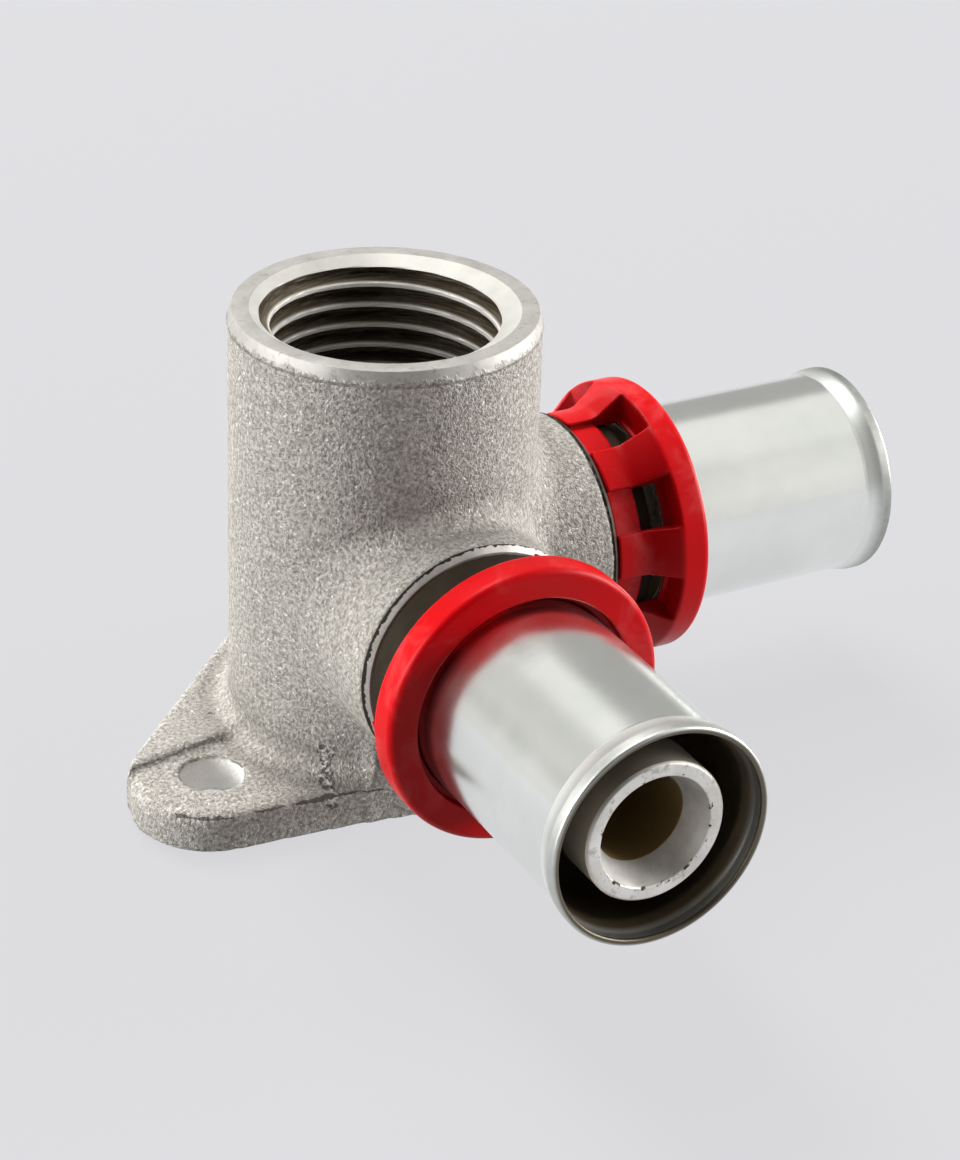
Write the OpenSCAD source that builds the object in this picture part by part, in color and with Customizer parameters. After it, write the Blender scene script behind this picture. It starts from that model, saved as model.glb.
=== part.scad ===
// Wall-plate double press elbow: a threaded socket stands on a screw-down plate, and two press outlets
// leave it at right angles, parallel to the wall.
// Frame: the origin is on the socket's axis at the wall face, +Z runs up the socket, and the outlets run
// along +X ("right") and -Y ("front").

/* [Socket] */
// Outer diameter of the cast socket
socket_d = 25.5; // [24.5:0.1:28]
// Height of the socket's rim above the wall
socket_height = 40; // [38:0.5:48]
// Core diameter of the female thread
thread_core_d = 18.63; // [18.4:0.01:18.9]
// Depth of the threaded stretch below the rim
thread_length = 16; // [13:0.5:17]
// Diameter of the countersunk mouth at the rim
mouth_d = 21.9; // [20.5:0.1:22.5]
// Depth of the countersink
mouth_depth = 1; // [0.6:0.1:1.6]
// Diameter of the water chamber below the thread
chamber_d = 14.6; // [12:0.1:16.5]
// Depth of the chamber's floor below the outlets' bores
chamber_drop = 1.2; // [0.6:0.1:2]
// Depth of the drill point in that floor
chamber_point = 1.6; // [0.6:0.1:3]
// Radial width of the turned bevel round the rim
rim_bevel = 0.35; // [0.2:0.05:0.8]
// Height of that bevel
rim_bevel_height = 1.1; // [0.6:0.1:2]

/* [Plate] */
// Thickness of the plate at the screw pads
plate_t = 3.45; // [3:0.05:4.5]
// Rise of the web between the pads above the pads
web_rise = 0.55; // [0.3:0.05:1]
// Corner radius of the plate
corner_r = 6.8; // [6:0.1:8]
// Rounding of the plate's upper edge
edge_r = 1.2; // [0.6:0.1:1.6]
// Diameter of the two screw holes
screw_hole_d = 5.2; // [4.5:0.1:5.5]
// Distance between the screw holes
screw_spacing = 31.7; // [31:0.1:34]
// Distance of the line of screw holes behind the socket's axis
screw_setback = 9.05; // [8.6:0.05:10]
// Distance of the plate's third corner in front of the socket's axis
toe_reach = 9.2; // [8:0.1:11]
// Radius of the flat kept free for a screw head
pad_r = 4; // [3.6:0.1:4.4]
// Skew of the step that bounds each pad, in degrees
pad_skew = 9.5; // [5:0.5:14]
// Fillet between the socket and the plate
base_fillet = 2; // [1:0.1:2.6]

/* [Outlets] */
// Height of the outlets' axes above the wall
axis_height = 16.2; // [15.6:0.1:18]
// Diameter of each cast boss
boss_d = 20.4; // [20.2:0.1:21.2]
// Distance from the socket's axis to the boss's machined face
boss_end = 17.4; // [16.6:0.1:20]
// Width of the bright bevel turned round that face
lip_bevel = 0.5; // [0.3:0.05:0.6]
// Radius that blends each boss into the socket at its crown
boss_fillet = 1.4; // [0.8:0.1:1.8]
// Radius of the same blend at the boss's sides
side_fillet = 3.2; // [2.6:0.1:4]
// Width of the rib below each boss
rib_w = 12; // [8:0.5:13]
// Reach of that rib from the socket's axis
rib_reach = 11.5; // [9:0.1:11.8]
// Diameter of the neck that carries the washer
neck_d = 14; // [13.4:0.1:14.4]
// Length of the neck
neck_length = 2.6; // [2.4:0.1:3.4]

/* [Pipe tail] */
// Diameter of the tail's lands, for a pipe of 12 mm inside
tail_d = 11.7; // [11.5:0.05:11.8]
// Length of the tail beyond the neck
tail_length = 24.7; // [23:0.1:30]
// Bore of the tail
bore_d = 7.4; // [7:0.1:7.6]
// Diameter of the conical mouth at the tail's tip
tip_mouth_d = 9.4; // [8.6:0.05:9.8]
// Depth of that mouth
tip_mouth_depth = 2.4; // [1:0.1:3]
// Bevel round the tail's tip
tip_bevel = 0.2; // [0.1:0.05:0.4]
// Thickness of the sealing rings' cord
cord_d = 1.6; // [1.5:0.05:1.65]
// Height of a sealing ring above the lands
seal_rise = 0.15; // [0.1:0.05:0.2]
// Width of each sealing ring's groove
groove_w = 2.1; // [1.9:0.1:2.4]
// Distance from the tip to the middle of the outer groove
outer_groove = 5.25; // [4.4:0.05:6]
// Distance between the middles of the two grooves
groove_spacing = 8; // [6.5:0.1:8.5]
// Length of one barb
barb_pitch = 1.4; // [1.1:0.1:1.8]
// Depth of one barb
barb_depth = 0.3; // [0.15:0.05:0.4]

/* [Washer] */
// Outer diameter of the insulating washer
washer_d = 18.2; // [17.8:0.1:18.3]
// Diameter over the washer's key, which fills the ring's wide opening
key_d = 19.2; // [18.8:0.1:19.6]
// Play of the key in that opening, in degrees
key_play = 4; // [2:0.5:8]
// Thickness of the washer's plate, which the pipe butts against
washer_plate = 1.2; // [0.9:0.1:1.4]
// Depth of the snap grooves on the neck and round the washer
snap_depth = 0.4; // [0.3:0.05:0.5]
// Width of the snap grooves
snap_w = 0.8; // [0.6:0.1:1]

/* [Ring] */
// Diameter over the ring's claws
claw_d = 20; // [19.9:0.05:20.2]
// Diameter of the ring's flange
flange_d = 23.8; // [23:0.1:25]
// Thickness of the flange
flange_t = 2.6; // [2.2:0.1:3]
// Overall length of the ring
ring_length = 7.7; // [7.5:0.1:8.2]
// Rounding of the flange's front edge
flange_round = 0.6; // [0.3:0.1:0.8]
// Length of the flare from the claws up to the flange
flare_length = 2.5; // [1.8:0.1:2.7]
// Diameter of the pocket floors between the claws
pocket_d = 19; // [18.9:0.05:19.4]
// Angle from one pocket to the next
pocket_step = 45; // [40:1:50]
// Angle that one pocket covers
pocket_angle = 22.5; // [18:0.5:25]
// Number of pockets
pocket_count = 5; // [3:1:5]
// Length of the window at the end of each pocket
window_length = 2.3; // [1.6:0.1:2.5]
// Distance of the window from the flange
window_setback = 0.3; // [0.2:0.05:0.6]
// Angle of the wide opening, which takes the washer's key
opening_angle = 135; // [80:1:135]
// Bore of the flange round the sleeve
flange_bore_d = 18.8; // [18.5:0.05:19.2]
// Depth of that bore from the flange's face
recess_depth = 1.2; // [0.6:0.1:1.3]
// Width of the rib that holds the sleeve's collar
keeper_w = 0.6; // [0.5:0.1:0.8]
// Direction of the right ring's wide opening round its axis
right_ring_turn = 58; // [0:1:359]
// Direction of the front ring's wide opening round its axis
front_ring_turn = 130; // [0:1:359]

/* [Sleeve] */
// Outer diameter of the press sleeve
sleeve_d = 17.6; // [17.3:0.05:17.7]
// Wall of the sleeve
sleeve_wall = 0.55; // [0.4:0.05:0.65]
// Diameter of the collar that the ring holds
collar_d = 19.2; // [18.8:0.05:19.4]
// How far the sleeve reaches past the tail's tip
sleeve_overhang = 0.9; // [0.2:0.1:2]
// Radial height of the bead at the sleeve's mouth
bead_rise = 0.35; // [0.15:0.05:0.5]
// Length of that bead
bead_length = 2.4; // [1.6:0.1:3]
// Length of the ramp from the barrel up to the bead
bead_ramp = 1.4; // [0.8:0.1:1.5]
// Rounding of the sleeve's mouth
mouth_round = 0.3; // [0.1:0.05:0.35]

/* [Fits] */
// Clearance between pieces that are pushed together
fit = 0.05; // [0.02:0.01:0.08]

/* [Hidden] */
$fn = 96;
EPS = 0.01;
OVER = 1;

// Places along an outlet, from the socket's axis
neck_end = boss_end + neck_length;
tail_end = neck_end + tail_length;
washer_end = neck_end + washer_plate;
ring_start = boss_end + fit;
ring_end = ring_start + ring_length;
flange_start = ring_end - flange_t;
flare_start = flange_start - flare_length;
window_end = flange_start - window_setback;
window_start = window_end - window_length;
recess_start = ring_end - recess_depth;
keeper_start = recess_start - keeper_w;
snap_low = boss_end + neck_length / 2 - snap_w / 2;
snap_high = snap_low + snap_w;

// The sleeve's collar lies just behind the ring's keeper rib
collar_start = keeper_start - fit - sleeve_wall;
sleeve_end = tail_end + sleeve_overhang;
bead_start = sleeve_end - bead_length;

// Radii
socket_r = socket_d / 2;
boss_r = boss_d / 2;
neck_r = neck_d / 2;
tail_r = tail_d / 2;
washer_r = washer_d / 2;
washer_bore_r = neck_r + fit;
claw_r = claw_d / 2;
flange_r = flange_d / 2;
sleeve_r = sleeve_d / 2;
ring_bore_r = washer_r + fit;
seal_r = tail_r + seal_rise - cord_d / 2;
groove_floor_r = seal_r - cord_d / 2 - fit;

// Sealing grooves and barbs
groove_middles = [tail_end - outer_groove - groove_spacing, tail_end - outer_groove];
first_barb = washer_end + 2 * barb_pitch;
inner_barbs = floor((groove_middles[0] - groove_w - first_barb) / barb_pitch);
middle_barbs = floor((groove_spacing - 2 * groove_w) / barb_pitch);
middle_first = (groove_middles[0] + groove_middles[1] - middle_barbs * barb_pitch) / 2;

// Plan of the plate: the screw holes lie on a line behind the socket, square to the outlets' bisector
hole_left = [-screw_setback - screw_spacing / 2, screw_setback - screw_spacing / 2] / sqrt(2);
hole_back = [-hole_left[1], -hole_left[0]];
toe = [toe_reach, -toe_reach] / sqrt(2);
chamber_floor = axis_height - bore_d / 2 - chamber_drop;

// Steps in the rounded edges, and how far the rolled blends bite into the metal on each side
fillet_steps = 6;
round_steps = 4;
blend_sections = 64;
blend_steps = 4;
blend_bite = 0.05;
blend_root = 2;

// Stands a piece that is drawn along +Z on the right outlet's axis
module on_right() {
    translate([0, 0, axis_height]) rotate([0, 90, 0]) children();
}

// Stands a piece that is drawn along +Z on the front outlet's axis
module on_front() {
    translate([0, 0, axis_height]) rotate([90, 0, 0]) children();
}

// Turns a [radius, height] outline about Z
module turned(points) {
    rotate_extrude() polygon(points);
}

// Arc of points in a plane, from one angle to another
function arc(cx, cy, r, from, to, steps) =
    [for (i = [0 : steps]) let (a = from + (to - from) * i / steps) [cx + r * cos(a), cy + r * sin(a)]];

// One corner post of the plate, with a rounded upper edge
module plate_corner(top) {
    turned(concat([[0, 0], [corner_r, 0]],
                  arc(corner_r - edge_r, top - edge_r, edge_r, 0, 90, round_steps),
                  [[0, top]]));
}

// The plate's three-cornered slab
module plate_slab(top) {
    hull() {
        for (place = [hole_left, hole_back, toe])
            translate(place) plate_corner(top, $fn = 48);
    }
}

// A point of the left pad's step, given square to the step from the screw hole's middle
function pad_point(x, y) = hole_left
    + [x * cos(pad_skew) - y * sin(pad_skew), x * sin(pad_skew) + y * cos(pad_skew)];

// Mirror image of a plan point in the bisector of the outlets
function other_side(p) = [-p[1], -p[0]];

// The raised web between the screw pads and the socket
module plate_web() {
    far = pad_point(-3 * pad_r, pad_r);
    near = pad_point(pad_r, pad_r);
    intersection() {
        plate_slab(plate_t + web_rise);
        linear_extrude(plate_t + web_rise + OVER)
            polygon([far, near, [0, 0], other_side(near), other_side(far)]);
    }
}

// The socket's outside, with the bevel round the rim
module socket_wall() {
    turned([[0, 0], [socket_r, 0], [socket_r, socket_height - rim_bevel_height],
            [socket_r - rim_bevel, socket_height], [0, socket_height]]);
}

// The fillet between the socket and the plate, kept within the plate's outline
module base_blend() {
    foot = plate_t + web_rise / 2;
    intersection() {
        plate_slab(foot + base_fillet + corner_r);
        turned(concat([[socket_r - base_fillet, OVER], [socket_r + base_fillet, OVER]],
                      arc(socket_r + base_fillet, foot + base_fillet, base_fillet, 270, 180, fillet_steps),
                      [[socket_r - base_fillet, foot + base_fillet]]));
    }
}

// Sawtooth of barbs, steep towards the body so that the pipe can't slip off
function barbs(start, count) = [for (i = [0 : count - 1]) each
    [[tail_r - barb_depth, start + i * barb_pitch], [tail_r, start + i * barb_pitch]]];

// Square groove for a sealing ring
function groove(middle) = [
    [tail_r, middle - groove_w / 2], [groove_floor_r, middle - groove_w / 2],
    [groove_floor_r, middle + groove_w / 2], [tail_r, middle + groove_w / 2]];

// The outside of one outlet: boss, neck and tail in one turned outline
module outlet_outside() {
    turned(concat(
        [[0, 0], [boss_r, 0], [boss_r, boss_end - lip_bevel], [boss_r - lip_bevel, boss_end],
         [neck_r, boss_end], [neck_r, snap_low], [neck_r - snap_depth, snap_low],
         [neck_r - snap_depth, snap_high], [neck_r, snap_high], [neck_r, neck_end],
         [tail_r, neck_end], [tail_r, first_barb - barb_pitch], [tail_r - barb_depth, first_barb - EPS]],
        barbs(first_barb, inner_barbs),
        [[tail_r - barb_depth, first_barb + inner_barbs * barb_pitch],
         [tail_r, first_barb + inner_barbs * barb_pitch]],
        groove(groove_middles[0]),
        [[tail_r, middle_first - EPS]],
        barbs(middle_first, middle_barbs),
        [[tail_r - barb_depth, middle_first + middle_barbs * barb_pitch],
         [tail_r, middle_first + middle_barbs * barb_pitch]],
        groove(groove_middles[1]),
        [[tail_r, tail_end - tip_bevel], [tail_r - tip_bevel, tail_end], [0, tail_end]]));
}

// The water way of one outlet, with the conical mouth at the tail's tip
module outlet_bore() {
    turned([[0, 0], [bore_d / 2, 0], [bore_d / 2, tail_end - tip_mouth_depth],
            [tip_mouth_d / 2, tail_end], [tip_mouth_d / 2, tail_end + OVER], [0, tail_end + OVER]]);
}

// The socket's inside: countersink, thread core, chamber and the drill point at its floor
module socket_bore() {
    core_r = thread_core_d / 2;
    chamber_r = chamber_d / 2;
    thread_floor = socket_height - thread_length;
    turned([[0, chamber_floor - chamber_point], [chamber_r, chamber_floor],
            [chamber_r, thread_floor - (core_r - chamber_r)], [core_r, thread_floor],
            [core_r, socket_height - mouth_depth], [mouth_d / 2, socket_height],
            [mouth_d / 2, socket_height + OVER], [0, socket_height + OVER]]);
}

// The ribs that carry both bosses on the plate
module boss_ribs() {
    for (turn = [0, -90])
        rotate([0, 0, turn]) translate([0, -rib_w / 2, 0]) cube([rib_reach, rib_w, axis_height]);
}

// Unit vector
function unit(v) = v / norm(v);

// One cross-section of the blend between a boss along +X and the socket: an arc rolled against both with
// its ends sunk into them, and a last point inside the metal. side is the direction round the boss, from
// +Y towards +Z.
function blend_section(side) =
    let (radius = boss_fillet + (side_fillet - boss_fillet) * pow(cos(side), 2),
         roll = [cos(side), sin(side)] * (boss_r + radius),
         centre = [sqrt(pow(socket_r + radius, 2) - pow(roll[0], 2)), roll[0], roll[1]],
         to_boss = [0, -cos(side), -sin(side)],
         to_socket = unit([-centre[0], -centre[1], 0]))
    concat([for (i = [0 : blend_steps])
                let (reach = radius + (i == 0 || i == blend_steps ? blend_bite : 0))
                centre + reach * unit(to_boss + (to_socket - to_boss) * i / blend_steps)],
           [centre + (radius + blend_root) * unit(to_boss + to_socket)]);

// The rolled blend all the way round the root of one boss
module boss_blend() {
    count = blend_steps + 2;
    points = [for (i = [0 : blend_sections - 1]) each blend_section(360 * i / blend_sections)];
    faces = [for (i = [0 : blend_sections - 1], j = [0 : count - 1])
        let (next_i = (i + 1) % blend_sections, next_j = (j + 1) % count,
             a = i * count + j, b = i * count + next_j, c = next_i * count + next_j, d = next_i * count + j)
        each [[a, c, b], [a, d, c]]];
    translate([0, 0, axis_height]) polyhedron(points, faces);
}

module body() {
    color("#b9b5ab") difference() {
        union() {
            socket_wall();
            plate_slab(plate_t);
            plate_web();
            base_blend();
            on_right() outlet_outside();
            on_front() outlet_outside();
            boss_ribs();
            boss_blend();
            rotate([0, 0, -90]) boss_blend();
        }
        socket_bore();
        on_right() outlet_bore();
        on_front() outlet_bore();
        for (place = [hole_left, hole_back])
            translate(place) translate([0, 0, -OVER]) cylinder(h = plate_t + 3 * OVER, d = screw_hole_d);
    }
}

// The black insulating washer: a cup that snaps onto the neck, takes the pipe's end, and carries a key
module washer() {
    rib_r = neck_r - snap_depth + fit;
    groove_r = washer_r - snap_depth;
    low = boss_end + fit;
    key_root_r = (washer_bore_r + groove_r) / 2;
    color("#26241f") union() {
        turned([
            [washer_bore_r, low], [washer_r, low], [washer_r, snap_low], [groove_r, snap_low],
            [groove_r, snap_high], [washer_r, snap_high], [washer_r, washer_end], [tail_r + fit, washer_end],
            [tail_r + fit, neck_end + fit], [washer_bore_r, neck_end + fit], [washer_bore_r, snap_high - fit],
            [rib_r, snap_high - fit], [rib_r, snap_low + fit], [washer_bore_r, snap_low + fit]]);
        sector(opening_angle - key_play, key_root_r, key_d / 2, low + fit, washer_end - fit);
    }
}

// A stretch of a ring, between two radii and two heights, within one wedge about +X
module sector(angle, inner_r, outer_r, from, to) {
    translate([0, 0, from]) rotate([0, 0, -angle / 2])
        rotate_extrude(angle = angle) translate([inner_r, 0]) square([outer_r - inner_r, to - from]);
}

// Everything outside a radius, between two heights, within one wedge
module pocket(angle, inner_r, from, to) {
    sector(angle, inner_r, flange_r + OVER, from, to);
}

// The red ring: claws over the washer, a flare up to the flange, and the groove that holds the sleeve
module ring() {
    keeper_r = sleeve_r + fit;
    collar_groove_r = collar_d / 2 + fit;
    tooth_r = washer_r - snap_depth + fit;
    low = snap_low + fit;
    high = snap_high - fit;
    color("#c8141b") difference() {
        turned(concat(
            [[ring_bore_r, ring_start], [claw_r - fit, ring_start], [claw_r, ring_start + fit],
             [claw_r, flare_start], [flange_r, flange_start]],
            arc(flange_r - flange_round, ring_end - flange_round, flange_round, 0, 90, round_steps),
            [[flange_bore_d / 2, ring_end], [flange_bore_d / 2, recess_start],
             [keeper_r, recess_start], [keeper_r, keeper_start], [collar_groove_r, keeper_start],
             [collar_groove_r, collar_start - fit], [ring_bore_r, collar_start - fit], [ring_bore_r, high],
             [tooth_r, high], [tooth_r, low], [ring_bore_r, low]]));
        for (i = [0 : pocket_count - 1])
            rotate([0, 0, 180 + (i - (pocket_count - 1) / 2) * pocket_step]) {
                pocket(pocket_angle, pocket_d / 2, ring_start - OVER, flange_start);
                pocket(pocket_angle, 0, window_start, window_end);
            }
        pocket(opening_angle, 0, ring_start - OVER, window_end);
        pocket(opening_angle, pocket_d / 2, window_end - EPS, flange_start);
    }
}

// The stainless press sleeve: a collar in the ring, a plain barrel and a beaded mouth
module sleeve() {
    inner_r = sleeve_r - sleeve_wall;
    bead_r = sleeve_r + bead_rise;
    ramp_end = bead_start + bead_ramp;
    color("#c9ccc6") turned([
        [inner_r, collar_start], [collar_d / 2, collar_start], [collar_d / 2, collar_start + sleeve_wall],
        [sleeve_r, collar_start + sleeve_wall], [sleeve_r, bead_start], [bead_r, ramp_end],
        [bead_r, sleeve_end - mouth_round], [bead_r - mouth_round / 2, sleeve_end],
        [bead_r - sleeve_wall, sleeve_end], [bead_r - sleeve_wall, ramp_end], [inner_r, bead_start]]);
}

// One rubber sealing ring in its groove
module seal(middle) {
    color("#1d1d1d") translate([0, 0, middle]) rotate_extrude() translate([seal_r, 0]) circle(d = cord_d);
}

module washer_right() { on_right() rotate([0, 0, right_ring_turn]) washer(); }
module washer_front() { on_front() rotate([0, 0, front_ring_turn]) washer(); }
module ring_right() { on_right() rotate([0, 0, right_ring_turn]) ring(); }
module ring_front() { on_front() rotate([0, 0, front_ring_turn]) ring(); }
module sleeve_right() { on_right() sleeve(); }
module sleeve_front() { on_front() sleeve(); }
module seal_right_inner() { on_right() seal(groove_middles[0]); }
module seal_right_outer() { on_right() seal(groove_middles[1]); }
module seal_front_inner() { on_front() seal(groove_middles[0]); }
module seal_front_outer() { on_front() seal(groove_middles[1]); }

body();
washer_right();
washer_front();
ring_right();
ring_front();
sleeve_right();
sleeve_front();
seal_right_inner();
seal_right_outer();
seal_front_inner();
seal_front_outer();
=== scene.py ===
import itertools
import math
from functools import partial, reduce

import bpy
import numpy as np
from mathutils import Matrix, Vector


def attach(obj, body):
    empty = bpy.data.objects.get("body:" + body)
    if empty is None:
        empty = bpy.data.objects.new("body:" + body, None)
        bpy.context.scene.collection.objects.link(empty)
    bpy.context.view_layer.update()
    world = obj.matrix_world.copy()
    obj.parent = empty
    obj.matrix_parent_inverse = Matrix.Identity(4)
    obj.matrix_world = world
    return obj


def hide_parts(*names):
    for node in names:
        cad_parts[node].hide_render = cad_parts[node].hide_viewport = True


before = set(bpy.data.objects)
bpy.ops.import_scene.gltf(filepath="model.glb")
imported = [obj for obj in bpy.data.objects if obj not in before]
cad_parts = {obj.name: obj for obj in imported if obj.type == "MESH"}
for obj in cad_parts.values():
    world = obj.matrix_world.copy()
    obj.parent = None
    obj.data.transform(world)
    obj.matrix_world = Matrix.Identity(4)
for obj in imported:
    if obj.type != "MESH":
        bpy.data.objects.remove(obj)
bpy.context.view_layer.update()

MM = 0.001
SIDES = ("right", "front")

# Sizes of the body, the same as in the part's source, in millimetres
SOCKET_R, SOCKET_H = 12.75, 40.0
CORE_R, MAJOR_R, PITCH, FLANK_ANGLE = 9.315, 10.4775, 1.814, 27.5
THREAD_LENGTH, THREAD_PHASE, HALF_CREST = 16.0, -0.18, 0.17
MOUTH_R, MOUTH_DEPTH = 10.95, 1.0
CHAMBER_R, RIM_BEVEL, RIM_BEVEL_H = 7.3, 0.35, 1.1
AXIS_H, BOSS_R, BOSS_END, LIP_BEVEL = 16.2, 10.2, 17.4, 0.5
PLATE_T, WEB_RISE, CORNER_R, EDGE_R = 3.45, 0.55, 6.8, 1.2
HOLE_R, TOE_REACH, PAD_R, PAD_SKEW = 2.6, 9.2, 4.0, math.radians(9.5)
HOLE_LEFT = np.array([-17.607, -4.808])
HOLE_BACK = np.array([4.808, 17.607])
TOE = np.array([TOE_REACH, -TOE_REACH]) / math.sqrt(2)
RIB_W, RIB_REACH = 12.0, 11.5
NECK_R, NECK_END = 7.0, 20.0
TAIL_R, TAIL_END, BORE_R = 5.85, 44.7, 3.7
TIP_MOUTH_R, TIP_MOUTH_DEPTH, TIP_BEVEL = 4.7, 2.4, 0.2
BARB_PITCH, BARB_DEPTH, BARB_COUNT = 1.4, 0.3, 2
INNER_BARBS, MIDDLE_BARBS = 22.6, 34.05
SEAL_GROOVES, HALF_GROOVE, GROOVE_FLOOR_R = (31.45, 39.45), 1.05, 5.0
SNAP_DEPTH, SNAP_LOW, SNAP_HIGH = 0.4, 18.3, 19.1

# Sizes of washers, rings and sleeves
FIT = 0.05
WASHER_R, WASHER_END, WASHER_BORE_R, PIPE_SEAT = 9.1, 21.2, 7.05, 20.05
KEY_R, KEY_ROOT_R, KEY_HALF = 9.6, 7.9, 65.5
CLAW_R, FLANGE_R, FLANGE_ROUND = 10.0, 11.9, 0.6
RING_START, RING_END, FLANGE_START, FLARE_START = 17.45, 25.15, 22.55, 20.05
POCKET_R, POCKET_STEP, POCKET_HALF, POCKET_COUNT = 9.5, 45.0, 11.25, 5
WINDOW_START, WINDOW_END, OPENING_HALF = 19.95, 22.25, 67.5
RING_BORE_R, FLANGE_BORE_R, RECESS_START = 9.15, 9.4, 23.95
KEEPER_START, KEEPER_R = 23.35, 8.85
RING_TURN = {"right": 58.0, "front": 130.0}
SLEEVE_R, SLEEVE_WALL, COLLAR_R, COLLAR_START = 8.8, 0.55, 9.6, 22.75
SLEEVE_END, BEAD_R, BEAD_START, BEAD_RAMP = 45.6, 9.15, 43.2, 1.4

# The casting's roundings and rooms, and its unevenness; the skin loss keeps lumps from standing out
WEB_EDGE_R, WEB_FILLET, RIB_FILLET, CROTCH_FILLET = 0.5, 0.8, 1.2, 1.6
BOSS_FILLET, BASE_FILLET, HOLE_EDGE_R, FOOT_EDGE_R = 2.1, 2.0, 0.3, 0.25
CAST_BORE_R, CAST_BORE_FLOOR, CHAMBER_FLOOR = 11.4, 23.0, 11.0
LIP_GAP, LIP_EDGE_R, FOOT_GAP = 0.03, 0.12, 0.01
SKIN_LOSS, LUMP, LUMP_WAVE, RIPPLE, RIPPLE_WAVE = 0.06, 0.045, 3.1, 0.02, 1.1
CAST_LOW, CAST_HIGH = (-25.4, -18.4, -0.9), (18.4, 25.4, 39.6)

# The plate's flaws: both ends of the flash seam, and the dents, each with its size
SEAM_START, SEAM_END = (-8.0, -4.5), (-10.27, -12.5)
DENTS = ((-5.76, -10.65, 0.26), (-14.26, 3.08, 0.22))

# Edge lengths of the meshes' cells, and steps round and along the turned pieces
CAST_CELL, WASHER_CELL, RING_CELL = 0.315, 0.16, 0.14
THREAD_SEGMENTS, THREAD_STEP, OUTLET_SEGMENTS, SLEEVE_SEGMENTS = 200, 0.06, 160, 224


# Distance fields and their meshes

def hypot(*parts):
    return np.sqrt(sum(p * p for p in parts))


def carve(solid, cut):
    return np.maximum(solid, -cut)


def join_round(a, b, r):
    """Union of two fields with a rolled fillet of radius r between them."""
    u = np.maximum(r - a, 0)
    v = np.maximum(r - b, 0)
    return np.maximum(r, np.minimum(a, b)) - np.sqrt(u * u + v * v)


def meet_round(a, b, r):
    """Intersection of two fields with a rounded edge of radius r."""
    u = np.maximum(r + a, 0)
    v = np.maximum(r + b, 0)
    return np.minimum(-r, np.maximum(a, b)) + np.sqrt(u * u + v * v)


def polygon_field(x, y, corners):
    """Signed distance to a polygon, from the nearest edge and a count of the edges crossed."""
    best, outside = 1e9, True
    for (ax, ay), (bx, by) in zip(corners, [*corners[1:], corners[0]]):
        ex, ey = bx - ax, by - ay
        wx, wy = x - ax, y - ay
        t = np.clip((wx * ex + wy * ey) / (ex * ex + ey * ey), 0, 1)
        best = np.minimum(best, (wx - ex * t) ** 2 + (wy - ey * t) ** 2)
        low, high, left = y >= ay, y < by, ex * wy > ey * wx
        outside = outside ^ ((low & high & left) | (~low & ~high & ~left))
    return np.where(outside, 1, -1) * np.sqrt(best)


class Noise:
    """Smooth value noise on a wrapped lattice, the same on every run."""

    def __init__(self, seed, size=32):
        self.size = size
        self.values = np.random.RandomState(seed).uniform(-1, 1, (size, size, size)).astype(np.float32)

    def __call__(self, x, y, z, wavelength):
        cells, weights = [], []
        for place in np.broadcast_arrays(x, y, z):
            place = place / wavelength
            cell = np.floor(place)
            part = place - cell
            smooth = part * part * (3 - 2 * part)
            cells.append(cell.astype(np.int64))
            weights.append((1 - smooth, smooth))
        total = 0
        for corner in itertools.product((0, 1), repeat=3):
            value = self.values[tuple((cell + step) % self.size for cell, step in zip(cells, corner))]
            for weight, step in zip(weights, corner):
                value = value * weight[step]
            total = total + value
        return total


def block(start, shape):
    """Slices that cut a block of a given shape out of a lattice."""
    return tuple(slice(a, a + n) for a, n in zip(start, shape))


def cell_points(values, inside):
    """A point in each cell that the surface crosses, counted in cells, and each cell's point number."""
    shape = tuple(n - 1 for n in values.shape)
    sums = np.zeros((*shape, 3), dtype=np.float32)
    counts = np.zeros(shape, dtype=np.int16)
    for axis in range(3):
        for others in itertools.product((0, 1), repeat=2):
            start = [*others[:axis], 0, *others[axis:]]
            end = [*others[:axis], 1, *others[axis:]]
            here, there = block(start, shape), block(end, shape)
            crossing = inside[here] != inside[there]
            a, b = values[here][crossing], values[there][crossing]
            place = np.zeros((len(a), 3), np.float32) + np.array(start, np.float32)
            place[:, axis] += a / (a - b)
            sums[crossing] += place
            counts[crossing] += 1
    used = counts > 0
    index = np.full(shape, -1, dtype=np.int64)
    index[used] = np.arange(used.sum())
    return np.argwhere(used) + sums[used] / counts[used][:, None], index


def cell_quads(inside, index):
    """A quad round each edge of the lattice that the surface crosses, facing outwards."""
    quads = []
    for axis in range(3):
        u, v = (axis + 1) % 3, (axis + 2) % 3
        step = np.eye(3, dtype=int)[axis]
        start = 1 - step
        shape = np.array(index.shape) - start
        here, there = inside[block(start, shape)], inside[block(start + step, shape)]
        edges = np.argwhere(here != there)
        outward = here[tuple(edges.T)]
        corners = []
        for du, dv in ((0, 0), (1, 0), (1, 1), (0, 1)):
            cell = edges + start
            cell[:, u] -= 1 - du
            cell[:, v] -= 1 - dv
            corners.append(index[tuple(cell.T)])
        quad = np.stack(corners, axis=1)
        quad[~outward] = quad[~outward][:, ::-1]
        quads.append(quad)
    return np.concatenate(quads)


def slope_of(field, points, small):
    """Slope of a field at each point, by central differences."""
    return np.stack([(field(*(points + step).T) - field(*(points - step).T)) / (2 * small)
                     for step in np.eye(3) * small], axis=1)


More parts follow.
